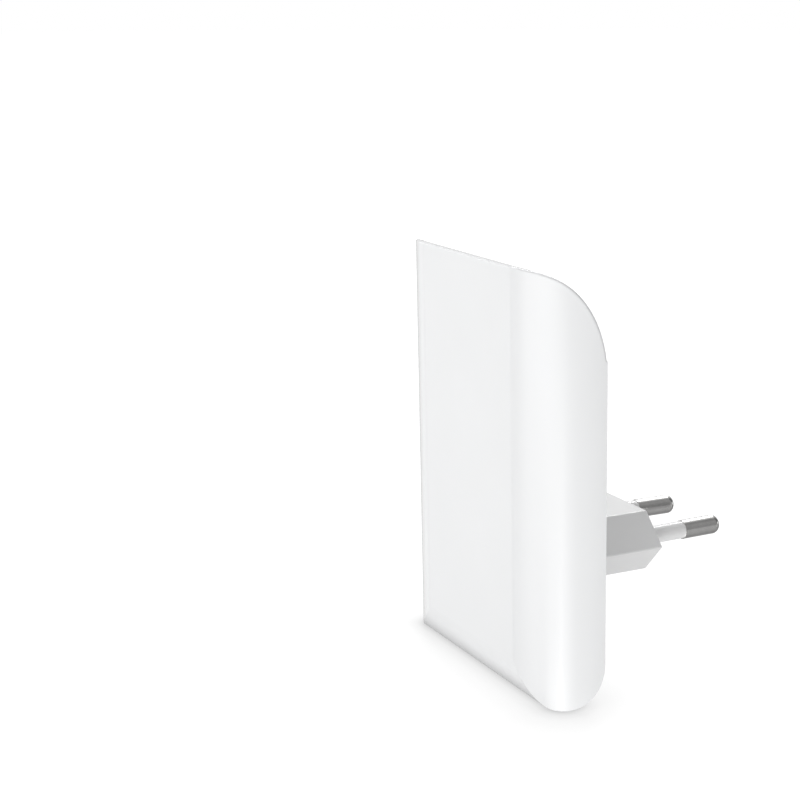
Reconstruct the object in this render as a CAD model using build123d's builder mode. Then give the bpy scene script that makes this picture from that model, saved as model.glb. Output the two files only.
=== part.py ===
from build123d import *
import os
from math import acos, asin, cos, sin, sqrt

# Plug in night light: a white shield, open at its scooped top, on a rear
# housing with a hexagonal two-pin plug block.
# Millimetres. X is right seen from the front, +Y points into the socket and
# +Z is up. The origin is the centre of the plug block's end face.

# ---------------------------------------------------------------- dimensions

# Shield: a plan profile and a side profile crossed
cover_width = 69.4
cover_top = 59.9
cover_bottom = -25.1
cover_depth = 11.5
cover_wall = 1.8
side_radius = 17.3
nose_depth = 3.7
nose_height = 7.5
heel_height = 10.0
rim_round = 0.4
scoop_reach = 11.7
scoop_drop = 19.5

# Rear housing
fit_gap = 0.25
housing_wall = 1.6
skirt_board_gap = 2.0
shelf_below_rim = 4.5
groove_rib = 1.0
groove_depth = 2.0
groove_length = 34.0

# Plug block
plug_reach = 23.7
plug_width = 35.3
plug_height = 12.5
plug_slant = 6.3
plug_wall = 1.8
plug_end_wall = 2.2
plug_edge_round = 0.5
plug_face_round = 0.4

# Pins and their sleeves
pin_spacing = 18.6
pin_tip_spacing = 17.5
pin_length = 19.0
pin_diameter = 4.0
pin_tip_round = 1.4
pin_neck_diameter = 2.8
pin_flange_diameter = 5.4
pin_flange_thickness = 1.0
pin_flange_gap = 0.1
pin_tail = 9.0
sleeve_length = 10.0
sleeve_diameter = 3.65
sleeve_gap = 0.05
collar_diameter = 4.7
collar_height = 0.9
collar_root = 1.0

# Pin carrier
carrier_thickness = 4.0
carrier_gap = 0.2
carrier_web = 1.0
carrier_post_diameter = 4.6
carrier_screw_length = 3.6

# Screws
screw_gap = 0.05
screw_core = 2.0
screw_head = 4.2
screw_head_height = 1.0
screw_head_round = 0.5
screw_cross = (2.3, 0.45, 0.5)
pilot_gap = 0.15
cover_screw_length = 6.0
cover_screw_below_shelf = 13.9
cover_screw_above_floor = 6.85
cover_boss_diameter = 5.4
boss_skirt_gap = 0.6
screw_well_diameter = 5.0
screw_well_depth = 1.9
screw_pad = 1.6
screw_pad_diameter = 8.0

# Circuit board
board_boss_gap = 0.75
board_below_shelf = 2.9
board_above_bottom = 6.1
board_thickness = 1.2
board_front_gap = 1.5
board_corner = 2.0
pillar_diameter = 4.6
pillar_side_edge = 3.5
pillar_upper_edge = 10.0
pillar_above_floor = 4.85
peg_diameter = 2.0
peg_gap = 0.1
board_screw_length = 4.0

# Light engine
lens_length = 37.0
lens_proud = 0.3
lens_flange = 0.6
lens_flange_thickness = 0.8
lens_gap = 0.15
lens_board_gap = 0.8
lens_panel_gap = 0.8
led_count = 3
led_pitch = 11.0
led_size = (3.0, 1.4, 1.2)
led_window = (2.4, 0.9, 0.15)
led_below_edge = 0.2
reflector_height = 7.6
reflector_gap = 0.4
reflector_wall = 0.8

# Light sensor
hood_floor_gap = 0.3
sensor_diameter = 3.0
sensor_flange_diameter = 3.7
sensor_flange_thickness = 0.6
sensor_window_gap = 0.3
hood_diameter = 6.4
hood_wall = 1.0
window_diameter = 4.4
window_flange_diameter = 5.8
window_flange_thickness = 0.7
window_gap = 0.1

# Electronic parts: size along X, depth off the board along Y, size along Z.
# Places are across X and down from the board's upper edge, or up from the pins.
film_size = (12.0, 10.0, 5.5)
film_round = 0.8
can_panel_gap = 0.4
can_length = 11.0
can_place = (-9.0, 16.0)
can_lead_spread = 2.0
can_lead_reach = 1.2
can_end_round = 0.4
bridge_size = (4.7, 2.5, 3.8)
bridge_place = (-12.0, 24.5)
fuse_diameter = 3.0
fuse_length = 8.5
fuse_span = 13.0
fuse_end_round = 0.6
fuse_place = (8.5, 16.0)
wire_diameter = 0.6
chip_size = (3.2, 0.6, 1.6)
chip_columns = 2
chip_rows = 3
chip_pitch = (5.0, 3.2)
chip_place = (11.5, 25.4)
zener_diameter = 1.8
zener_length = 3.6
zener_place = (-12.5, -6.0)
transistor_size = (2.9, 1.1, 1.3)
transistor_place = (8.0, -14.5)
leg_size = (0.5, 0.25, 0.7)
transistor_leg_pitch = 1.9
bridge_leg_pitch = 2.5
lead_diameter = 1.4
lead_cup_depth = 2.0
lead_board_offset = 1.0
lead_board_height = -3.0

overcut = 3.0

STAND = (Align.CENTER, Align.CENTER, Align.MIN)
HANG = (Align.CENTER, Align.CENTER, Align.MAX)

os.makedirs("parts", exist_ok=True)

# ------------------------------------------------------------ derived places

back_y = -plug_reach
front_y = back_y - cover_depth
half_width = cover_width / 2
side_angle = acos(1 - min(cover_depth, side_radius) / side_radius)
tangent_half = half_width + side_radius * (1 - sin(side_angle))
nose_y = front_y + nose_depth
heel_depth = cover_depth - nose_depth
heel_z = cover_bottom + heel_height
scoop_share = min(cover_depth, scoop_reach) / scoop_reach
rim_rear_z = cover_top - scoop_drop * (1 - sqrt(1 - scoop_share**2))

panel_y = back_y - housing_wall
shelf_top = rim_rear_z - shelf_below_rim
shelf_under = shelf_top - housing_wall
housing_inset = cover_wall + fit_gap
housing_floor = heel_z + fit_gap
cover_face_y = front_y + cover_wall

board_top = shelf_under - board_below_shelf
board_bottom = cover_bottom + board_above_bottom
board_front_y = cover_face_y + board_front_gap
board_y = board_front_y + board_thickness
board_room = panel_y - board_y

skirt_y = board_y + skirt_board_gap
skirt_radius = side_radius - housing_inset - housing_wall
skirt_half = tangent_half - side_radius + sqrt(skirt_radius**2 - (front_y + side_radius - skirt_y) ** 2)
cover_screw_x = skirt_half - boss_skirt_gap - cover_boss_diameter / 2
cover_screw_seat = back_y - screw_well_depth
cover_boss_end = panel_y - screw_pad - fit_gap
board_width = 2 * (cover_screw_x - cover_boss_diameter / 2 - board_boss_gap)
pillar_x = board_width / 2 - pillar_side_edge
board_height = board_top - board_bottom
board_middle = (board_top + board_bottom) / 2

pin_tilt = asin((pin_spacing - pin_tip_spacing) / 2 / pin_length)
carrier_y = -plug_end_wall - carrier_thickness

lens_y = board_y + lens_board_gap
lens_width = board_room - lens_board_gap - lens_panel_gap
lens_seat_z = shelf_under - lens_flange_thickness
sensor_height = housing_floor + housing_wall + hood_floor_gap + hood_diameter / 2
reflector_depth = board_room - reflector_gap
can_diameter = board_room - can_panel_gap
sensor_room = board_room - window_flange_thickness
sensor_body = sensor_room - sensor_window_gap - sensor_diameter / 2
flange_seat = -plug_end_wall - pin_flange_gap


# -------------------------------------------------------------- common forms

def plan_form(inset, low_z, high_z, rear_y):
    """The shield's plan profile, drawn in by inset, between two heights and up to rear_y."""
    with BuildPart() as form:
        with BuildSketch(Plane.XY.offset(low_z)) as plan:
            with Locations((0, front_y + inset)):
                Rectangle(2 * (tangent_half - inset), 2 * side_radius, align=(Align.CENTER, Align.MIN))
            fillet(plan.vertices().group_by(Axis.Y)[0], side_radius - inset)
        extrude(amount=high_z - low_z)
        split(bisect_by=Plane.XZ.offset(-rear_y))
    return form.part


def shield_form(inset, rear_y, high_z):
    """The shield's plan profile crossed with its side profile, both drawn in by inset."""
    face_y = front_y + inset
    with BuildPart() as form:
        add(plan_form(inset, cover_bottom, high_z, rear_y))
        with BuildSketch(Plane.YZ.offset(-tangent_half)):
            with BuildLine():
                nose = EllipticalCenterArc(
                    (nose_y, cover_bottom + nose_height),
                    nose_depth - inset,
                    nose_height - inset,
                    start_angle=180,
                    arc_size=90,
                )
                heel = EllipticalCenterArc(
                    (nose_y, heel_z),
                    heel_depth - inset,
                    heel_height - inset,
                    start_angle=270,
                    arc_size=90,
                )
                Polyline(heel @ 1, (overcut, heel_z), (overcut, high_z), (face_y, high_z), nose @ 0)
            make_face()
        extrude(amount=2 * tangent_half, mode=Mode.INTERSECT)
    return form.part


def plug_outline(inset):
    """The plug block's six-sided outline, drawn in by inset."""
    half_w = plug_width / 2
    half_h = plug_height / 2
    shoulder = half_w - plug_slant
    with BuildSketch() as outline:
        with BuildLine():
            Polyline(
                (half_w, 0),
                (shoulder, half_h),
                (-shoulder, half_h),
                (-half_w, 0),
                (-shoulder, -half_h),
                (shoulder, -half_h),
                close=True,
            )
        make_face()
        if inset > 0:
            offset(amount=-inset, kind=Kind.INTERSECTION, mode=Mode.REPLACE)
    return outline.sketch


def pin_plane(side):
    """Plane on the plug's end face, looking out along one pin; side is -1 or 1."""
    return Plane(
        origin=(side * pin_spacing / 2, 0, 0),
        x_dir=(cos(pin_tilt), side * sin(pin_tilt), 0),
        z_dir=(-side * sin(pin_tilt), cos(pin_tilt), 0),
    )


def board_plane(place):
    """Plane on the board's rear face at (x, z), looking towards the socket."""
    return Plane(origin=(place[0], board_y, place[1]), x_dir=(1, 0, 0), z_dir=(0, 1, 0))


def upper_board_plane(place):
    """The same, at x and a distance down from the board's upper edge."""
    return board_plane((place[0], board_top - place[1]))


def screw(length):
    """A pan-head screw along +Z, its head's seat at the origin."""
    with BuildPart() as body:
        Cylinder(screw_core / 2, length, align=STAND)
        with BuildSketch():
            Circle(screw_head / 2)
        extrude(amount=-screw_head_height)
        fillet(body.edges().filter_by(GeomType.CIRCLE).group_by(Axis.Z)[0], screw_head_round)
        with BuildSketch(Plane.XY.offset(-screw_head_height)):
            Rectangle(screw_cross[0], screw_cross[1])
            Rectangle(screw_cross[1], screw_cross[0])
        extrude(amount=screw_cross[2], mode=Mode.SUBTRACT)
    return body.part


def bent_wire(points):
    """A bare wire through the points, its corners rounded to its own diameter."""
    with BuildPart() as wire:
        with BuildLine() as route:
            FilletPolyline(*points, radius=wire_diameter)
        with BuildSketch(Plane(origin=route.line @ 0, z_dir=route.line % 0)):
            Circle(wire_diameter / 2)
        sweep()
    return wire.part


cover_screw_places = [
    (side * cover_screw_x, height)
    for side in (-1, 1)
    for height in (housing_floor + cover_screw_above_floor, shelf_under - cover_screw_below_shelf)
]
board_screw_places = [(side * pillar_x, board_top - pillar_upper_edge) for side in (-1, 1)]
peg_places = [(side * pillar_x, housing_floor + pillar_above_floor) for side in (-1, 1)]

# -------------------------------------------------------------- front cover

with BuildPart() as cover_bosses:
    with BuildSketch(Plane.XZ.offset(-cover_boss_end)):
        with Locations(*cover_screw_places):
            Circle(cover_boss_diameter / 2)
    extrude(amount=cover_boss_end - front_y)
    add(shield_form(cover_wall / 2, back_y, shelf_top), mode=Mode.INTERSECT)

with BuildPart() as front_cover:
    add(shield_form(0, back_y, cover_top + overcut))
    add(shield_form(cover_wall, back_y + overcut, cover_top + 2 * overcut), mode=Mode.SUBTRACT)
    with BuildSketch(Plane.YZ.offset(-tangent_half)):
        with Locations((front_y, cover_top - scoop_drop)):
            Rectangle(2 * cover_depth + overcut, scoop_drop + 2 * overcut, align=(Align.CENTER, Align.MIN))
            Ellipse(scoop_reach, scoop_drop, mode=Mode.SUBTRACT)
    extrude(amount=2 * tangent_half, mode=Mode.SUBTRACT)
    scoop_rim = front_cover.faces().filter_by(GeomType.EXTRUSION).sort_by(Axis.Z)[-1]
    fillet(scoop_rim.edges().filter_by(lambda edge: edge.center().Y < back_y - rim_round), rim_round)
    add(cover_bosses.part)
    with BuildSketch(Plane.XZ.offset(-cover_boss_end)):
        with Locations(*cover_screw_places):
            Circle(screw_core / 2 + screw_gap)
    extrude(amount=cover_boss_end - cover_screw_seat + cover_screw_length + pilot_gap, mode=Mode.SUBTRACT)
    with BuildSketch(Plane.XZ.offset(-cover_face_y - groove_depth)):
        for rib_z in (shelf_top + fit_gap + groove_rib / 2, shelf_under - fit_gap - groove_rib / 2):
            with Locations((0, rib_z)):
                Rectangle(groove_length, groove_rib)
    extrude(amount=groove_depth + cover_wall / 2)
front_cover.part.label = "front_cover"
export_step(front_cover.part, "parts/front_cover.step")

# ------------------------------------------------------------- rear housing

with BuildPart() as plug_block:
    with BuildSketch(Plane.XZ):
        add(plug_outline(0))
    extrude(amount=plug_reach + housing_wall / 2)
    fillet(plug_block.edges().filter_by(Axis.Y), plug_edge_round)
    fillet(plug_block.edges().group_by(Axis.Y)[-1], plug_face_round)

with BuildPart() as rear_housing:
    add(plan_form(housing_inset, housing_floor, shelf_top, back_y))
    add(
        plan_form(housing_inset + housing_wall, housing_floor + housing_wall, shelf_under, panel_y),
        mode=Mode.SUBTRACT,
    )
    with BuildSketch(Plane.YZ.offset(-tangent_half)):
        with Locations((skirt_y, shelf_under)):
            Rectangle(cover_depth, cover_top - cover_bottom, align=(Align.MAX, Align.MAX))
    extrude(amount=2 * tangent_half, mode=Mode.SUBTRACT)
    add(plug_block.part)
    with BuildSketch(Plane.XZ.offset(plug_end_wall)):
        add(plug_outline(plug_wall))
    extrude(amount=plug_reach, mode=Mode.SUBTRACT)
    # screw pads, wells and holes
    with BuildSketch(Plane.XZ.offset(-panel_y)):
        with Locations(*cover_screw_places):
            Circle(screw_pad_diameter / 2)
    extrude(amount=screw_pad)
    with BuildSketch(Plane.XZ.offset(-back_y)):
        with Locations(*cover_screw_places):
            Circle(screw_well_diameter / 2)
    extrude(amount=screw_well_depth, mode=Mode.SUBTRACT)
    with BuildSketch(Plane.XZ.offset(-back_y)):
        with Locations(*cover_screw_places):
            Circle(screw_core / 2 + screw_gap)
    extrude(amount=cover_depth, mode=Mode.SUBTRACT)
    # pillars and pegs that carry the circuit board
    with BuildSketch(Plane.XZ.offset(-panel_y)):
        with Locations(*board_screw_places, *peg_places):
            Circle(pillar_diameter / 2)
    extrude(amount=board_room)
    with BuildSketch(Plane.XZ.offset(-board_y)):
        with Locations(*peg_places):
            Circle(peg_diameter / 2)
    extrude(amount=board_thickness)
    with BuildSketch(Plane.XZ.offset(-board_y)):
        with Locations(*board_screw_places):
            Circle(screw_core / 2 + screw_gap)
    extrude(amount=-board_screw_length, mode=Mode.SUBTRACT)
    # slot for the lens and round hole for the sensor window
    with BuildSketch(Plane.XY.offset(shelf_under)):
        with Locations((0, lens_y)):
            Rectangle(lens_length, lens_width, align=(Align.CENTER, Align.MIN))
    extrude(amount=housing_wall, mode=Mode.SUBTRACT)
    with BuildSketch(Plane.XZ.offset(-back_y)):
        with Locations((0, sensor_height)):
            Circle(window_diameter / 2)
    extrude(amount=housing_wall, mode=Mode.SUBTRACT)
    # post for the pin carrier's screw
    with BuildSketch(Plane.XZ.offset(plug_end_wall)):
        Circle(carrier_post_diameter / 2)
    extrude(amount=carrier_thickness - carrier_web - carrier_gap)
    with BuildSketch(Plane.XZ.offset(-carrier_y)):
        Circle(screw_core / 2 + screw_gap)
    extrude(amount=-carrier_screw_length - screw_gap, mode=Mode.SUBTRACT)
    # collars and holes for the pins
    with BuildSketch(Plane.XZ.offset(-collar_height)):
        with Locations((-pin_spacing / 2, 0), (pin_spacing / 2, 0)):
            Circle(collar_diameter / 2)
    extrude(amount=collar_height + collar_root)
    with BuildSketch(pin_plane(-1).offset(overcut), pin_plane(1).offset(overcut)):
        Circle(sleeve_diameter / 2 + sleeve_gap)
    extrude(amount=-plug_end_wall - 2 * overcut, mode=Mode.SUBTRACT)
rear_housing.part.label = "rear_housing"
export_step(rear_housing.part, "parts/rear_housing.step")

# ---------------------------------------------------- pins, sleeves, carrier

for side, hand in ((-1, "left"), (1, "right")):
    with BuildPart(pin_plane(side)) as pin:
        with Locations((0, 0, sleeve_length)):
            Cylinder(pin_diameter / 2, pin_length - sleeve_length, align=STAND)
        fillet(pin.edges().filter_by(GeomType.CIRCLE).sort_by(Axis.Y)[-1], pin_tip_round)
        with Locations((0, 0, -pin_tail)):
            Cylinder(pin_neck_diameter / 2, pin_tail + sleeve_length, align=STAND)
            Cylinder(lead_diameter / 2 + sleeve_gap, lead_cup_depth, align=STAND, mode=Mode.SUBTRACT)
        with Locations((0, 0, flange_seat)):
            Cylinder(pin_flange_diameter / 2, pin_flange_thickness, align=HANG)
    pin.part.label = f"pin_{hand}"
    export_step(pin.part, f"parts/pin_{hand}.step")

    with BuildPart(pin_plane(side)) as sleeve:
        with Locations((0, 0, flange_seat)):
            Cylinder(sleeve_diameter / 2, sleeve_length - flange_seat, align=STAND)
            Cylinder(
                pin_neck_diameter / 2 + sleeve_gap,
                sleeve_length - flange_seat,
                align=STAND,
                mode=Mode.SUBTRACT,
            )
    sleeve.part.label = f"sleeve_{hand}"
    export_step(sleeve.part, f"parts/sleeve_{hand}.step")

    cup = pin_plane(side) * Pos(0, 0, lead_cup_depth - pin_tail - sleeve_gap)
    pad = Vector(cup.position.X - side * lead_board_offset, board_y, lead_board_height)
    with BuildPart() as lead:
        with BuildLine():
            Spline(cup.position, pad, tangents=(-pin_plane(side).z_dir, Vector(0, -1, 0)))
        with BuildSketch(Plane(origin=cup.position, z_dir=-pin_plane(side).z_dir)):
            Circle(lead_diameter / 2)
        sweep()
    lead.part.label = f"lead_{hand}"
    export_step(lead.part, f"parts/lead_{hand}.step")

with BuildPart() as pin_carrier:
    with BuildSketch(Plane.XZ.offset(plug_end_wall)):
        add(plug_outline(plug_wall + carrier_gap))
    extrude(amount=carrier_thickness)
    with BuildSketch(Plane.XZ.offset(plug_end_wall)):
        Circle(carrier_post_diameter / 2 + carrier_gap)
    extrude(amount=carrier_thickness - carrier_web, mode=Mode.SUBTRACT)
    with BuildSketch(Plane.XZ.offset(plug_end_wall)):
        Circle(screw_core / 2 + screw_gap)
    extrude(amount=carrier_thickness, mode=Mode.SUBTRACT)
    with BuildSketch(pin_plane(-1), pin_plane(1)):
        Circle(pin_neck_diameter / 2 + sleeve_gap)
    extrude(amount=-pin_tail, mode=Mode.SUBTRACT)
    with BuildSketch(pin_plane(-1), pin_plane(1)):
        Circle(pin_flange_diameter / 2 + sleeve_gap)
    extrude(amount=flange_seat - pin_flange_thickness, mode=Mode.SUBTRACT)
pin_carrier.part.label = "pin_carrier"
export_step(pin_carrier.part, "parts/pin_carrier.step")

# -------------------------------------------------------------------- screws

with BuildPart() as carrier_screw:
    add(Plane(origin=(0, carrier_y, 0), z_dir=(0, 1, 0)) * screw(carrier_screw_length))
carrier_screw.part.label = "carrier_screw"
export_step(carrier_screw.part, "parts/carrier_screw.step")

with BuildPart() as cover_screws:
    for x, z in cover_screw_places:
        add(Plane(origin=(x, cover_screw_seat, z), z_dir=(0, -1, 0)) * screw(cover_screw_length))
cover_screws.part.label = "cover_screws"
export_step(cover_screws.part, "parts/cover_screws.step")

with BuildPart() as board_screws:
    for x, z in board_screw_places:
        add(Plane(origin=(x, board_front_y, z), z_dir=(0, 1, 0)) * screw(board_screw_length))
board_screws.part.label = "board_screws"
export_step(board_screws.part, "parts/board_screws.step")

# ------------------------------------------------------------- circuit board

with BuildPart() as circuit_board:
    with BuildSketch(Plane.XZ.offset(-board_y)):
        with Locations((0, board_middle)):
            RectangleRounded(board_width, board_height, board_corner)
        with Locations(*board_screw_places):
            Circle(screw_core / 2 + screw_gap, mode=Mode.SUBTRACT)
        with Locations(*peg_places):
            Circle(peg_diameter / 2 + peg_gap, mode=Mode.SUBTRACT)
    extrude(amount=board_thickness)
circuit_board.part.label = "circuit_board"
export_step(circuit_board.part, "parts/circuit_board.step")

# -------------------------------------------------------------- light engine

with BuildPart() as leds:
    width, depth, height = led_size
    led_z = board_top - led_below_edge - height / 2
    with Locations(board_plane((0, led_z))):
        with GridLocations(led_pitch, 0, led_count, 1):
            Box(width, height, depth, align=STAND)
    with BuildSketch(Plane.XY.offset(led_z + height / 2)):
        with Locations((0, board_y + depth / 2)):
            with GridLocations(led_pitch, 0, led_count, 1):
                SlotOverall(led_window[0], led_window[1])
    extrude(amount=-led_window[2], mode=Mode.SUBTRACT)
leds.part.label = "leds"
export_step(leds.part, "parts/leds.step")

with BuildPart() as reflector:
    trough_z = lens_seat_z - reflector_height
    with BuildSketch(Plane.XY.offset(trough_z)):
        with Locations((0, board_y)):
            Rectangle(lens_length, reflector_depth, align=(Align.CENTER, Align.MIN))
    extrude(amount=reflector_height)
    with BuildSketch(Plane.XY.offset(trough_z + reflector_wall)):
        with Locations((0, board_y)):
            Rectangle(
                lens_length - 2 * reflector_wall,
                reflector_depth - reflector_wall,
                align=(Align.CENTER, Align.MIN),
            )
    extrude(amount=reflector_height, mode=Mode.SUBTRACT)
    with BuildSketch(Plane.XY.offset(board_top)):
        with Locations((0, board_y)):
            Rectangle(lens_length, reflector_wall, align=(Align.CENTER, Align.MIN))
    extrude(amount=lens_seat_z - board_top)
reflector.part.label = "reflector"
export_step(reflector.part, "parts/reflector.step")

with BuildPart() as diffuser_lens:
    with BuildSketch(Plane.XY.offset(lens_seat_z)):
        with Locations((0, lens_y + lens_width / 2)):
            Rectangle(lens_length + 2 * lens_flange, lens_width + 2 * lens_flange)
    extrude(amount=lens_flange_thickness)
    with BuildSketch(Plane.XY.offset(shelf_under)):
        with Locations((0, lens_y + lens_width / 2)):
            Rectangle(lens_length - 2 * lens_gap, lens_width - 2 * lens_gap)
    extrude(amount=housing_wall + lens_proud)
    chamfer(diffuser_lens.edges().group_by(Axis.Z)[-1], lens_proud / 2)
diffuser_lens.part.label = "diffuser_lens"
export_step(diffuser_lens.part, "parts/diffuser_lens.step")

# -------------------------------------------------------------- light sensor

with BuildPart(board_plane((0, sensor_height))) as light_sensor:
    Cylinder(sensor_diameter / 2, sensor_body, align=STAND)
    Cylinder(sensor_flange_diameter / 2, sensor_flange_thickness, align=STAND)
    with Locations((0, 0, sensor_body)):
        Sphere(sensor_diameter / 2)
light_sensor.part.label = "light_sensor"
export_step(light_sensor.part, "parts/light_sensor.step")

with BuildPart(board_plane((0, sensor_height))) as sensor_hood:
    Cylinder(hood_diameter / 2, sensor_room, align=STAND)
    Cylinder(hood_diameter / 2 - hood_wall, sensor_room, align=STAND, mode=Mode.SUBTRACT)
sensor_hood.part.label = "sensor_hood"
export_step(sensor_hood.part, "parts/sensor_hood.step")

window_plane = Plane(origin=(0, panel_y, sensor_height), x_dir=(1, 0, 0), z_dir=(0, 1, 0))
with BuildPart(window_plane) as sensor_window:
    Cylinder(window_diameter / 2 - window_gap, housing_wall, align=STAND)
    Cylinder(window_flange_diameter / 2, window_flange_thickness, align=HANG)
sensor_window.part.label = "sensor_window"
export_step(sensor_window.part, "parts/sensor_window.step")

# ---------------------------------------------------------- electronic parts

with BuildPart(board_plane((0, 0))) as dropper_capacitor:
    Box(film_size[0], film_size[2], film_size[1], align=STAND)
    fillet(dropper_capacitor.edges().group_by(Axis.Y)[1:], film_round)
dropper_capacitor.part.label = "dropper_capacitor"
export_step(dropper_capacitor.part, "parts/dropper_capacitor.step")

with BuildPart() as smoothing_capacitor:
    with Locations(upper_board_plane(can_place) * Location((0, 0, can_diameter / 2), (0, 90, 0))):
        Cylinder(can_diameter / 2, can_length)
    fillet(smoothing_capacitor.edges().filter_by(GeomType.CIRCLE), can_end_round)
    can_end = can_length / 2
    for lead_row in (-can_lead_spread / 2, can_lead_spread / 2):
        add(
            upper_board_plane(can_place)
            * bent_wire(
                (
                    (can_end - can_lead_reach, lead_row, can_diameter / 2),
                    (can_end + can_lead_reach, lead_row, can_diameter / 2),
                    (can_end + can_lead_reach, lead_row, 0),
                )
            )
        )
smoothing_capacitor.part.label = "smoothing_capacitor"
export_step(smoothing_capacitor.part, "parts/smoothing_capacitor.step")

with BuildPart() as fusible_resistor:
    with Locations(upper_board_plane(fuse_place) * Location((0, 0, fuse_diameter / 2), (0, 90, 0))):
        Cylinder(fuse_diameter / 2, fuse_length)
    fillet(fusible_resistor.edges().filter_by(GeomType.CIRCLE), fuse_end_round)
    add(
        upper_board_plane(fuse_place)
        * bent_wire(
            (
                (-fuse_span / 2, 0, 0),
                (-fuse_span / 2, 0, fuse_diameter / 2),
                (fuse_span / 2, 0, fuse_diameter / 2),
                (fuse_span / 2, 0, 0),
            )
        )
    )
fusible_resistor.part.label = "fusible_resistor"
export_step(fusible_resistor.part, "parts/fusible_resistor.step")

with BuildPart(upper_board_plane(bridge_place)) as bridge_rectifier:
    Box(bridge_size[0], bridge_size[2], bridge_size[1], align=STAND)
    chamfer(bridge_rectifier.edges().group_by(Axis.Y)[-1], leg_size[1])
    with GridLocations(bridge_leg_pitch, bridge_size[2] + leg_size[2], 2, 2):
        Box(leg_size[0], leg_size[2], leg_size[1], align=STAND)
bridge_rectifier.part.label = "bridge_rectifier"
export_step(bridge_rectifier.part, "parts/bridge_rectifier.step")

with BuildPart(upper_board_plane(chip_place)) as chip_resistors:
    with GridLocations(*chip_pitch, chip_columns, chip_rows):
        Box(chip_size[0], chip_size[2], chip_size[1], align=STAND)
chip_resistors.part.label = "chip_resistors"
export_step(chip_resistors.part, "parts/chip_resistors.step")

with BuildPart(board_plane(zener_place)) as zener_diode:
    with Locations(Location((0, 0, zener_diameter / 2), (0, 90, 0))):
        Cylinder(zener_diameter / 2, zener_length)
zener_diode.part.label = "zener_diode"
export_step(zener_diode.part, "parts/zener_diode.step")

with BuildPart(board_plane(transistor_place)) as transistor:
    Box(transistor_size[0], transistor_size[2], transistor_size[1], align=STAND)
    leg_row = (transistor_size[2] + leg_size[2]) / 2
    leg_x = transistor_leg_pitch / 2
    with Locations((-leg_x, leg_row), (leg_x, leg_row), (0, -leg_row)):
        Box(leg_size[0], leg_size[2], leg_size[1], align=STAND)
transistor.part.label = "transistor"
export_step(transistor.part, "parts/transistor.step")
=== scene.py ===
from math import cos, pi, radians, sin

import bmesh
import bpy
from mathutils import Matrix, Vector


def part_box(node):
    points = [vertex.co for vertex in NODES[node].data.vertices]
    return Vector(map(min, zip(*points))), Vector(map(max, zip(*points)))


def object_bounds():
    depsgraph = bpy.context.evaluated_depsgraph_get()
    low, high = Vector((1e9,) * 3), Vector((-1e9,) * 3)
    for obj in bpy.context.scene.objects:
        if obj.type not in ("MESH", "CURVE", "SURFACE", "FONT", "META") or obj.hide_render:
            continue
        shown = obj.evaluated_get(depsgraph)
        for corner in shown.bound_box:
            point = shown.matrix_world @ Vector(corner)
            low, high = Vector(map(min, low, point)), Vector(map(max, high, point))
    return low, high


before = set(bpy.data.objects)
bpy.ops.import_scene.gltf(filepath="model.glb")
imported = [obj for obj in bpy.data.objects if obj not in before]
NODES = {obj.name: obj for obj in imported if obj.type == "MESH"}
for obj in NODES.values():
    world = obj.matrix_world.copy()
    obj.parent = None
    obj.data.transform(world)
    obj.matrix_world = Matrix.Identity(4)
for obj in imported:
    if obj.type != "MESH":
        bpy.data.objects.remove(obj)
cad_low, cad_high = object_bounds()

# Looks of the plug in night light. Metres, in the CAD model's frame: X right
# seen from the front, +Y into the socket, +Z up.

MM = 0.001

# ------------------------------------------------------------------- camera

# The photograph's camera: image size, focal length and centre in pixels, direction
# in degrees, its place along its own axes and the sensor's width in millimetres,
# and the nearest and farthest distance that it sees in metres.
IMAGE = 800
FOCAL = 1819.0
CENTRE = (551.9, 495.3)
YAW = 60.75
PITCH = 15.82
ASIDE = -13.94
RAISED = 6.36
DISTANCE = 383.86
SENSOR = 36.0
CLIP = (0.01, 20)


def make_camera():
    """The photograph's viewpoint as a Blender camera."""
    yaw, pitch = radians(YAW), radians(PITCH)
    towards = Vector((sin(yaw) * cos(pitch), -cos(yaw) * cos(pitch), sin(pitch)))
    right = (-towards).cross(Vector((0, 0, 1))).normalized()
    up = right.cross(-towards)
    data = bpy.data.cameras.new("camera")
    data.sensor_width = SENSOR
    data.lens = FOCAL / IMAGE * SENSOR
    data.shift_x = (IMAGE / 2 - CENTRE[0]) / IMAGE
    data.shift_y = (CENTRE[1] - IMAGE / 2) / IMAGE
    data.clip_start, data.clip_end = CLIP
    camera = bpy.data.objects.new("camera", data)
    turn = Matrix((right, up, towards)).transposed().to_4x4()
    place = (towards * DISTANCE + right * ASIDE + up * RAISED) * MM
    camera.matrix_world = Matrix.Translation(place) @ turn
    bpy.context.scene.collection.objects.link(camera)
    bpy.context.scene.camera = camera


# ---------------------------------------------------------------- node tools


def rgba(colour):
    """A colour, or a number as a grey, with full alpha. A socket stays as it is."""
    if isinstance(colour, bpy.types.NodeSocket):
        return colour
    return (*colour, 1) if isinstance(colour, tuple) else (colour, colour, colour, 1)


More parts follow.
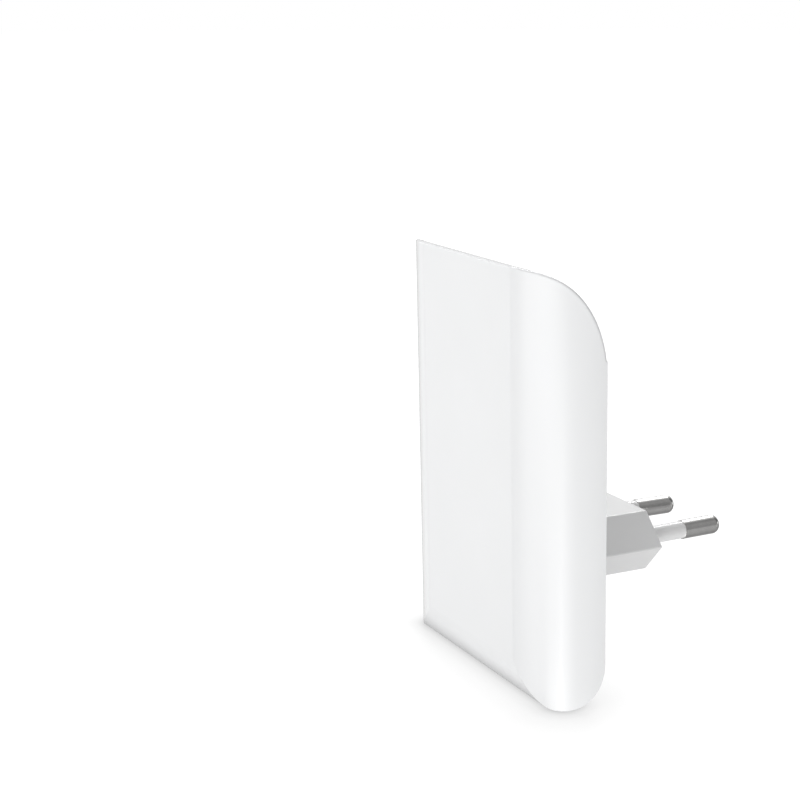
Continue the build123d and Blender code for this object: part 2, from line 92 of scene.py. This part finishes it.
class Tree:
    """A node tree with short calls for adding and joining nodes."""

    def __init__(self, owner):
        owner.use_nodes = True
        self.nodes = owner.node_tree.nodes
        self.links = owner.node_tree.links

    def add(self, kind, **values):
        """Adds a node and sets its inputs; an underscore stands for a space."""
        node = self.nodes.new("ShaderNode" + kind)
        for key, value in values.items():
            node.inputs[key.replace("_", " ")].default_value = value
        return node

    def join(self, source, node, socket):
        """Joins source to the node's input of that name or number."""
        self.links.new(source, node.inputs[socket])

    def fill(self, sockets, values):
        """Gives each input its value, by a link where the value is a socket itself."""
        for socket, value in zip(sockets, values):
            if isinstance(value, bpy.types.NodeSocket):
                self.links.new(value, socket)
            else:
                socket.default_value = value

    def ranged(self, source, low, high, start=0.3, stop=0.7):
        """Maps source from start..stop to low..high, clamped."""
        node = self.add("MapRange", From_Min=start, From_Max=stop, To_Min=low, To_Max=high)
        self.join(source, node, "Value")
        return node.outputs["Result"]

    def mixed(self, factor, first, second):
        """Mixes two colours, each a socket, a colour or a number for a grey."""
        node = self.add("Mix")
        node.data_type = "RGBA"
        self.join(factor, node, "Factor")
        colours = [socket for socket in node.inputs if socket.type == "RGBA"]
        self.fill(colours, (rgba(first), rgba(second)))
        return next(socket for socket in node.outputs if socket.type == "RGBA")

    def maths(self, operation, first, second=0.0):
        """The result of an operation on two numbers, each a socket or a value."""
        node = self.add("Math")
        node.operation = operation
        self.fill(node.inputs, (first, second))
        return node.outputs[0]

    def vector_maths(self, operation, source, value=(0, 0, 0)):
        """The result of an operation on a vector socket and a value."""
        node = self.add("VectorMath")
        node.operation = operation
        self.fill(node.inputs, (source, value))
        return node.outputs["Value" if operation == "LENGTH" else "Vector"]

    def ramp(self, source, table, start=0.0, stop=1.0, interpolation="LINEAR"):
        """A ramp through (place, colour) pairs, whose places run from start to stop."""
        node = self.add("ValToRGB")
        node.color_ramp.interpolation = interpolation
        elements = node.color_ramp.elements
        while len(elements) < len(table):
            elements.new(0.5)
        for element, (place, colour) in zip(elements, table):
            element.position = (place - start) / (stop - start)
            element.color = rgba(colour)
        self.join(source, node, "Fac")
        return node.outputs["Color"]


class Surface(Tree):
    """A material's node tree, round its Principled shader."""

    def __init__(self, name):
        self.material = bpy.data.materials.new(name)
        super().__init__(self.material)
        self.shader = self.nodes["Principled BSDF"]
        self.place = self.add("TexCoord").outputs["Object"]

    def set(self, **values):
        """Sets the shader's own sockets; an underscore stands for a space."""
        for key, value in values.items():
            self.shader.inputs[key.replace("_", " ")].default_value = value

    def feed(self, source, socket):
        """Joins source to one of the shader's sockets."""
        self.join(source, self.shader, socket)

    def colour(self, share, first, second):
        """Colours the surface, first where share is 0 and second where it is 1."""
        self.feed(self.mixed(share, first, second), "Base Color")

    def dull(self, source, low, high):
        """Lets the roughness follow source from low to high."""
        self.feed(self.ranged(source, low, high), "Roughness")

    def noise(self, size, detail=3.0, roughness=0.5, stretch=None):
        """Noise whose features are about size millimetres."""
        node = self.add("TexNoise", Scale=1 / (size * MM), Detail=detail, Roughness=roughness)
        place = self.place
        if stretch:
            mapping = self.add("Mapping", Scale=stretch)
            self.join(place, mapping, "Vector")
            place = mapping.outputs["Vector"]
        self.join(place, node, "Vector")
        return node.outputs["Fac"]

    def bump(self, height, depth):
        """Adds a bump of depth millimetres, on top of any before it."""
        node = self.add("Bump", Strength=1.0, Distance=depth * MM)
        self.join(height, node, "Height")
        before = self.shader.inputs["Normal"].links
        if before:
            self.join(before[0].from_socket, node, "Normal")
        self.feed(node.outputs["Normal"], "Normal")

    def axis(self, letter):
        """The place along one axis, in metres."""
        node = self.add("SeparateXYZ")
        self.join(self.place, node, "Vector")
        return node.outputs[letter]


# ----------------------------------------------------------------- materials

# Moulded plastic: sizes of its flow clouds and gloss patches in millimetres, the
# shares of its roughness between which it varies, and how strongly it and clear
# resin refract.
CLOUD_SIZE = 18.0
GLOSS_SIZE = 5.0
PLASTIC_GLOSS = (0.9, 1.12)
PLASTIC_IOR = 1.49
RESIN_IOR = 1.52

# Metal: size, stretch round the pins' axis and depth of its turning marks, the
# shares of its roughness between which they vary, and size and shade of its stains.
# Sizes and depth are in millimetres.
MARK_SIZE = 0.12
MARK_STRETCH = (0.02, 1, 0.02)
MARK_DEPTH = 0.0001
METAL_GLOSS = (0.9, 1.3)
STAIN_SIZE = 3.0
STAIN_SHADE = 0.86

# The board: pitch and gap of the glass weave and spacing of the tracks, all in
# millimetres, and the fading edges of the tracks as shares of that spacing.
WEAVE_PITCH = 0.45
WEAVE_GAP = 0.03
TRACK_SPACING = 6.25
TRACK_EDGE = (0.05, 0.09)
MASK_COLOUR = (0.83, 0.85, 0.8)
TRACK_COLOUR = (0.7, 0.74, 0.68)

# The LEDs: how deep below their tops, in millimetres, a face has to lie to be all
# phosphor or none, and how deep the phosphor reaches.
PHOSPHOR_DEPTHS = (0.25, 0.12)
PHOSPHOR_REACH = 0.2
PACKAGE_COLOUR = (0.86, 0.86, 0.82)
PHOSPHOR_COLOUR = (0.93, 0.72, 0.12)

# The smoothing capacitor's sleeve and the half width of its stripe in millimetres.
SLEEVE_COLOUR = (0.03, 0.035, 0.06)
STRIPE_COLOUR = (0.5, 0.52, 0.55)
STRIPE_HALF = 0.6

# The resistor: its tinned wires, the body between them and the bands on it, with
# places and widths as shares of its length.
TIN = (0.6, 0.6, 0.6)
LACQUER = (0.12, 0.3, 0.36)
BODY_ENDS = (0.17, 0.83)
BANDS = [(0.5, 0.03, 0.02), (0.3, 0.02, 0.25), (0.01, 0.01, 0.01), (0.55, 0.38, 0.08)]
FIRST_BAND = 0.27
BAND_PITCH = 0.12
BAND_WIDTH = 0.05


def moulded(name, colour, roughness, grain=0.35, grain_depth=0.002, shade=0.97):
    """Injection-moulded plastic: faint flow clouds, fine grain and uneven gloss.

    The grain's size and depth are in millimetres, and the darkest clouds have the
    colour times shade.
    """
    tree = Surface(name)
    clouds = tree.noise(CLOUD_SIZE, detail=4.0)
    darker = tuple(channel * shade for channel in colour)
    tree.colour(tree.ranged(clouds, 0, 1), darker, colour)
    patches = tree.noise(GLOSS_SIZE, detail=5.0, roughness=0.6)
    tree.dull(patches, *(roughness * share for share in PLASTIC_GLOSS))
    tree.bump(tree.noise(grain, detail=2.0), grain_depth)
    tree.set(IOR=PLASTIC_IOR)
    return tree


def metal(name, colour, roughness):
    """Plated or plain metal with fine turning marks."""
    tree = Surface(name)
    marks = tree.noise(MARK_SIZE, stretch=MARK_STRETCH)
    stains = tree.noise(STAIN_SIZE, detail=4.0)
    duller = tuple(channel * STAIN_SHADE for channel in colour)
    tree.colour(tree.ranged(stains, 0, 1), duller, colour)
    tree.dull(marks, *(roughness * share for share in METAL_GLOSS))
    tree.bump(marks, MARK_DEPTH)
    tree.set(Metallic=1.0)
    return tree


def shield_plastic():
    """The shield's glossy white plastic."""
    colour = (0.884, 0.89, 0.896)
    return moulded("shield_plastic", colour, roughness=0.09, grain_depth=0.0004, shade=0.985)


def housing_plastic():
    """The rear housing's white plastic, slightly duller."""
    colour = (0.865, 0.867, 0.869)
    return moulded("housing_plastic", colour, roughness=0.2, grain=0.5, grain_depth=0.0003)


def pin_metal():
    """Bright nickel plate."""
    return metal("pin_metal", (0.735, 0.73, 0.72), roughness=0.19)


def sleeve_plastic():
    """The pins' off-white insulation."""
    colour = (0.9, 0.9, 0.9)
    return moulded("sleeve_plastic", colour, roughness=0.15, grain=0.2, grain_depth=0.0005)


def lens_plastic():
    """Frosted, slightly translucent lens."""
    colour = (0.93, 0.93, 0.9)
    tree = moulded("lens_plastic", colour, roughness=0.5, grain=0.15, grain_depth=0.01)
    tree.set(Transmission_Weight=0.2)
    return tree


def board_laminate():
    """White solder mask with faint tracks showing through and a woven glass grain."""
    tree = Surface("board_laminate")
    upright = tree.add("Mapping", Rotation=(radians(90), 0, 0))
    tree.join(tree.place, upright, "Vector")
    weave = tree.add("TexBrick", Scale=1 / MM, Mortar_Size=WEAVE_GAP)
    weave.inputs["Brick Width"].default_value = WEAVE_PITCH
    weave.inputs["Row Height"].default_value = WEAVE_PITCH
    tracks = tree.add("TexVoronoi")
    tracks.distance = "MANHATTAN"
    tracks.feature = "DISTANCE_TO_EDGE"
    tracks.inputs["Scale"].default_value = 1 / (TRACK_SPACING * MM)
    for pattern in (weave, tracks):
        tree.join(upright.outputs["Vector"], pattern, "Vector")
    start, stop = TRACK_EDGE
    line = tree.ranged(tracks.outputs["Distance"], 1, 0, start=start, stop=stop)
    tree.colour(line, MASK_COLOUR, TRACK_COLOUR)
    tree.dull(tree.noise(size=2.0), low=0.22, high=0.34)
    tree.bump(line, depth=0.03)
    tree.bump(weave.outputs["Fac"], depth=0.004)
    return tree


def led_body():
    """White package with yellow phosphor sunk into its top."""
    tree = moulded("led_body", PACKAGE_COLOUR, roughness=0.4, grain=0.1)
    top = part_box("leds")[1].z
    start, stop = (top - depth * MM for depth in PHOSPHOR_DEPTHS)
    height = tree.axis("Z")
    sunk = tree.maths("SUBTRACT", 1.0, tree.ranged(height, 0, 1, start=start, stop=stop))
    near_top = tree.maths("GREATER_THAN", height, top - PHOSPHOR_REACH * MM)
    window = tree.maths("MULTIPLY", sunk, near_top)
    tree.colour(window, PACKAGE_COLOUR, PHOSPHOR_COLOUR)
    return tree


def cable_insulation(name, colour):
    """Extruded wire insulation."""
    return moulded(name, colour, roughness=0.35, grain=0.6, grain_depth=0.01, shade=0.85)


def hood_rubber():
    """The photocell's matt black hood."""
    colour = (0.018, 0.018, 0.019)
    return moulded(
        "hood_rubber", colour, roughness=0.75, grain=0.25, grain_depth=0.02, shade=0.6
    )


def clear_resin(name, colour, see_through):
    """Clear or tinted resin with faint streaks."""
    tree = moulded(name, colour, roughness=0.12, grain=0.8, grain_depth=0.002)
    tree.set(Transmission_Weight=see_through, IOR=RESIN_IOR)
    return tree


def dipped_epoxy():
    """The film capacitor's dipped case: glossy, lumpy and slightly mottled."""
    colour = (0.42, 0.1, 0.04)
    return moulded(
        "dipped_epoxy", colour, roughness=0.22, grain=2.5, grain_depth=0.08, shade=0.7
    )


def can_sleeve():
    """Shrink sleeve with one paler stripe along the can."""
    tree = Surface("can_sleeve")
    low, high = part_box("smoothing_capacitor")
    offset = tree.maths("SUBTRACT", tree.axis("Z"), (low.z + high.z) / 2)
    stripe = tree.maths("LESS_THAN", tree.maths("ABSOLUTE", offset), STRIPE_HALF * MM)
    tree.colour(stripe, SLEEVE_COLOUR, STRIPE_COLOUR)
    tree.dull(tree.noise(size=1.5), low=0.2, high=0.34)
    tree.bump(tree.noise(size=0.8), depth=0.01)
    return tree


def resistor_lacquer():
    """Baked lacquer with four colour bands and tinned wires."""
    tree = Surface("resistor_lacquer")
    low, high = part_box("fusible_resistor")
    stops = [(0.0, TIN), (BODY_ENDS[0], LACQUER)]
    for index, colour in enumerate(BANDS):
        start = FIRST_BAND + BAND_PITCH * index
        stops += [(start, colour), (start + BAND_WIDTH, LACQUER)]
    stops.append((BODY_ENDS[1], TIN))
    along = tree.ranged(tree.axis("X"), 0, 1, start=low.x, stop=high.x)
    tree.feed(tree.ramp(along, stops, interpolation="CONSTANT"), "Base Color")
    tree.dull(tree.noise(size=1.0), low=0.25, high=0.4)
    tree.bump(tree.noise(size=0.7), depth=0.02)
    return tree


def black_moulding():
    """Matt black epoxy of the small packages."""
    colour = (0.02, 0.02, 0.022)
    return moulded(
        "black_moulding", colour, roughness=0.55, grain=0.12, grain_depth=0.01, shade=0.6
    )


def chip_ceramic():
    """Black chip bodies with a fine speckle."""
    tree = Surface("chip_ceramic")
    speckle = tree.ranged(tree.noise(size=0.3), 0, 1)
    tree.colour(speckle, (0.02, 0.02, 0.022), (0.05, 0.05, 0.055))
    tree.dull(tree.noise(size=0.6), low=0.25, high=0.5)
    tree.bump(tree.noise(size=0.1), depth=0.008)
    return tree


def dress():
    """Gives every CAD node its material."""
    housing = housing_plastic()
    black = black_moulding()
    pins = pin_metal()
    sleeves = sleeve_plastic()
    steel = metal("screw_steel", (0.55, 0.56, 0.58), roughness=0.3)
    looks = {
        "front_cover": shield_plastic(),
        "rear_housing": housing,
        "pin_left": pins,
        "pin_right": pins,
        "sleeve_left": sleeves,
        "sleeve_right": sleeves,
        "lead_left": cable_insulation("blue_insulation", (0.02, 0.08, 0.32)),
        "lead_right": cable_insulation("brown_insulation", (0.13, 0.05, 0.02)),
        "pin_carrier": housing,
        "carrier_screw": steel,
        "cover_screws": steel,
        "board_screws": steel,
        "circuit_board": board_laminate(),
        "leds": led_body(),
        "reflector": moulded("reflector_plastic", (0.92, 0.92, 0.92), roughness=0.2, grain=0.3),
        "diffuser_lens": lens_plastic(),
        "light_sensor": clear_resin("sensor_resin", (0.8, 0.85, 0.88), see_through=0.6),
        "sensor_hood": hood_rubber(),
        "sensor_window": clear_resin("window_plastic", (0.1, 0.1, 0.11), see_through=0.4),
        "dropper_capacitor": dipped_epoxy(),
        "smoothing_capacitor": can_sleeve(),
        "fusible_resistor": resistor_lacquer(),
        "bridge_rectifier": black,
        "chip_resistors": chip_ceramic(),
        "zener_diode": clear_resin("diode_glass", (0.5, 0.12, 0.03), see_through=0.5),
        "transistor": black,
    }
    for name, tree in looks.items():
        slots = NODES[name].data.materials
        slots.clear()
        slots.append(tree.material)


# --------------------------------------------------------------------- stage

# The studio as the glossy shell mirrors it: brightness against compass angle in
# degrees, 0 in front of the shield and 90 on its right. The bands lie just below
# the horizon, lower, steeply down and above it.
MIRROR_HIGH = [
    (-180, 0.1), (-150, 0.15), (-119, 0.4), (-105, 0.55), (-92, 0.65), (-82, 0.85), (-74, 0.95),
    (-68, 0.6), (-64, 0.85), (-61, 0.45), (-58, 0.1), (-53, 0.0), (-40, 0.1), (-33, 0.75),
    (-25, 1.4), (-16, 1.5), (-8, 2.0), (0, 2.15), (8, 2.15), (16, 1.6), (24, 0.8), (32, 0.1),
    (42, 0.0), (90, 0.0), (115, 0.39), (145, 0.63), (180, 0.1),
]
MIRROR_LOW = [
    (-180, 0.1), (-150, 0.15), (-119, 0.4), (-105, 0.6), (-92, 0.8), (-82, 0.85), (-74, 0.75),
    (-68, 0.5), (-64, 0.75), (-61, 0.4), (-58, 0.05), (-53, 0.0), (-40, 0.0), (-33, 0.15),
    (-25, 0.35), (-16, 0.6), (-8, 0.65), (0, 0.9), (8, 1.9), (16, 2.5), (24, 3.9), (32, 2.2),
    (42, 0.6), (52, 0.45), (90, 0.3), (115, 0.11), (145, 0.9), (180, 0.1),
]
MIRROR_STEEP = [
    (-180, 0.3), (-119, 0.42), (-105, 0.35), (-95, 0.24), (-86, 0.2), (-80, 0.28), (-75, 0.44),
    (-70, 0.62), (-67, 0.55), (-64, 0.46), (-61, 0.2), (-58, 0.05), (-40, 0.12), (0, 2.2),
    (12, 6.5), (24, 8.5), (34, 4.5), (44, 2.6), (80, 2.2), (115, 0.5), (180, 0.3),
]
SKY = [
    (-180, 0.07), (-120, 0.89), (-75, 0.71), (-30, 0.19), (0, 0.15), (45, 0.71), (90, 0.0),
    (135, 0.38), (180, 0.07),
]
ZENITH = 0.35

# The direction's height, from -1 to 1, where a band starts to give way to the one
# above it, and where that is done.
STEEP_TO_MIRROR = (-0.43, -0.35)
LOW_TO_HIGH = (-0.36, -0.16)
MIRROR_TO_SKY = (-0.05, 0.05)
SKY_TO_ZENITH = (0.72, 0.88)

# Light that the ground throws back, against distance from the footprint in metres,
# half the size of the sheet that gives it, how far that lies below the part, and
# how much the footprint is shorter than the shield at each end.
BOUNCE = [(0.0, 0.6), (0.006, 0.99), (0.015, 0.87), (0.04, 1.0), (0.12, 1.02), (0.4, 0.8)]
BOUNCE_HALF = 3.0
BOUNCE_SINK = 0.5 * MM
BOUNCE_SHORT = 8.0 * MM

# The floor that the camera sees glows up to plain white, less close to the strip
# on which the nose stands, so that the dip in its glow is a painted contact
# shadow: glow against distance from the strip in metres, the strip's place behind
# the shield's face, how much it is shorter than the shield at each end, its half
# width, and the floor's own grey and half its size in metres.
PAINTED_CONTACT_SHADOW = [
    (0.0, 0.4), (0.0008, 0.53), (0.0015, 0.63), (0.0025, 0.72), (0.004, 0.78), (0.0055, 0.825),
    (0.009, 0.865), (0.013, 0.9), (0.02, 0.93),
]
STRIP_BEHIND_FACE = 6.2 * MM
STRIP_SHORT = 7.3 * MM
STRIP_ROUND = 2.6 * MM
FLOOR_GREY = 0.2
FLOOR_HALF = 5.5

# The dome's radius in metres, less than the camera sees in any view.
DOME_RADIUS = 5.0

# Softboxes: compass angle as above and elevation in degrees, width and height in
# metres, power in watts, and whether the gloss mirrors the box. All stand at the
# same distance in metres.
SOFTBOXES = {
    "front": (5, 10, 0.25, 0.6, 1.45, False),
    "front_low": (0, 7, 0.4, 0.2, 0.36, True),
    "key": (33, 22, 0.3, 0.5, 0.9, True),
    "right": (50, 7, 0.4, 0.2, 0.9, True),
    "back": (215, 60, 0.6, 0.6, 0.4, True),
    "pin_tips": (174, 0, 0.3, 0.25, 0.34, True),
    "left": (-70, 20, 0.4, 0.6, 0.86, True),
    "left_back": (-122, 45, 0.5, 0.5, 4.2, True),
}
LIGHT_DISTANCE = 0.9


def stage(mesh, tree, camera):
    """Adds a stage object that either only the camera or only soft light sees."""
    mesh.materials.append(tree.material)
    thing = bpy.data.objects.new(mesh.name, mesh)
    thing.visible_camera = camera
    thing.visible_diffuse = not camera
    thing.visible_glossy = False
    thing.visible_transmission = False
    thing.visible_shadow = not camera
    bpy.context.scene.collection.objects.link(thing)


def sheet(name, half, level):
    """A level square mesh."""
    mesh = bpy.data.meshes.new(name)
    corners = ((-half, -half), (half, -half), (half, half), (-half, half))
    mesh.from_pydata([(x, y, level) for x, y in corners], [], [(0, 1, 2, 3)])
    return mesh


def glowing(name, base):
    """A matt material that gives off light."""
    tree = Surface(name)
    tree.set(Base_Color=rgba(base), Specular_IOR_Level=0.0, Emission_Strength=1.0)
    return tree


def distance_from(tree, middle, half):
    """The distance from a level rectangle round middle, in metres."""
    offset = tree.vector_maths("SUBTRACT", tree.place, middle)
    offset = tree.vector_maths("ABSOLUTE", offset)
    offset = tree.vector_maths("SUBTRACT", offset, half)
    offset = tree.vector_maths("MAXIMUM", offset)
    return tree.vector_maths("LENGTH", offset)


def glow_by(tree, away, table, start=0.0):
    """A grey glow that follows a distance, counted from start, through a table's pairs."""
    reach = table[-1][0]
    share = tree.ranged(away, 0, 1, start=start, stop=start + reach)
    tree.feed(tree.ramp(share, table, stop=reach), "Emission Color")


def floor():
    """A wide pale floor just under the light, which the camera sees; its glow dips near the
    nose as a painted contact shadow.
    """
    shell_low, shell_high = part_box("front_cover")
    middle = (shell_low.x + shell_high.x) / 2
    tree = glowing("floor", FLOOR_GREY)
    tree.set(Roughness=1.0)
    strip = (middle, shell_low.y + STRIP_BEHIND_FACE, cad_low.z)
    away = distance_from(tree, strip, (shell_high.x - middle - STRIP_SHORT, 0, 0))
    # painted contact shadow: the floor's glow dims close to the strip under the nose
    glow_by(tree, away, PAINTED_CONTACT_SHADOW, start=STRIP_ROUND)
    stage(sheet("floor", FLOOR_HALF, cad_low.z), tree, camera=True)


def dome():
    """The plain white backdrop, round the floor."""
    mesh = bpy.data.meshes.new("dome")
    build = bmesh.new()
    bmesh.ops.create_icosphere(build, subdivisions=4, radius=DOME_RADIUS)
    build.to_mesh(mesh)
    build.free()
    tree = glowing("dome", 0.0)
    tree.set(Emission_Color=rgba(1.0))
    stage(mesh, tree, camera=True)


def bounce():
    """Stands for the floor as a source of soft light: dim close under the shell."""
    level = cad_low.z - BOUNCE_SINK
    shell_low, shell_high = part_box("front_cover")
    half = (shell_high - shell_low) / 2
    middle = (shell_low + shell_high) / 2
    tree = glowing("bounce", 0.0)
    away = distance_from(tree, (middle.x, middle.y, level), (half.x - BOUNCE_SHORT, half.y, 0))
    glow_by(tree, away, BOUNCE)
    stage(sheet("bounce", BOUNCE_HALF, level), tree, camera=False)


def studio():
    """The surroundings: bands of brightness that follow the compass angle."""
    world = bpy.data.worlds.new("studio")
    tree = Tree(world)
    parts = tree.add("SeparateXYZ")
    tree.join(tree.add("TexCoord").outputs["Generated"], parts, "Vector")
    height = parts.outputs["Z"]
    forward = tree.maths("MULTIPLY", parts.outputs["Y"], -1)
    compass = tree.ranged(tree.maths("ARCTAN2", parts.outputs["X"], forward), 0, 1, -pi, pi)
    steep, low, high, sky = (
        tree.ramp(compass, table, -180, 180)
        for table in (MIRROR_STEEP, MIRROR_LOW, MIRROR_HIGH, SKY)
    )
    mirror = tree.mixed(tree.ranged(height, 0, 1, *LOW_TO_HIGH), low, high)
    ground = tree.mixed(tree.ranged(height, 0, 1, *STEEP_TO_MIRROR), steep, mirror)
    around = tree.mixed(tree.ranged(height, 0, 1, *MIRROR_TO_SKY), ground, sky)
    colour = tree.mixed(tree.ranged(height, 0, 1, *SKY_TO_ZENITH), around, ZENITH)
    tree.join(colour, tree.nodes["Background"], "Color")
    bpy.context.scene.world = world


def softbox(name, azimuth, elevation, width, height, power, mirrored):
    """An area light that faces the part."""
    data = bpy.data.lights.new(name, "AREA")
    data.shape = "RECTANGLE"
    data.size = width
    data.size_y = height
    data.energy = power
    light = bpy.data.objects.new(name, data)
    turn, rise = radians(azimuth), radians(elevation)
    away = Vector((sin(turn) * cos(rise), -cos(turn) * cos(rise), sin(rise)))
    light.location = (cad_low + cad_high) / 2 + away * LIGHT_DISTANCE
    light.rotation_mode = "QUATERNION"
    light.rotation_quaternion = away.to_track_quat("Z", "Y")
    light.visible_glossy = mirrored
    bpy.context.scene.collection.objects.link(light)


bpy.context.scene.view_settings.view_transform = "Standard"
make_camera()
dress()
floor()
dome()
bounce()
studio()
for box_name, box in SOFTBOXES.items():
    softbox(box_name, *box)
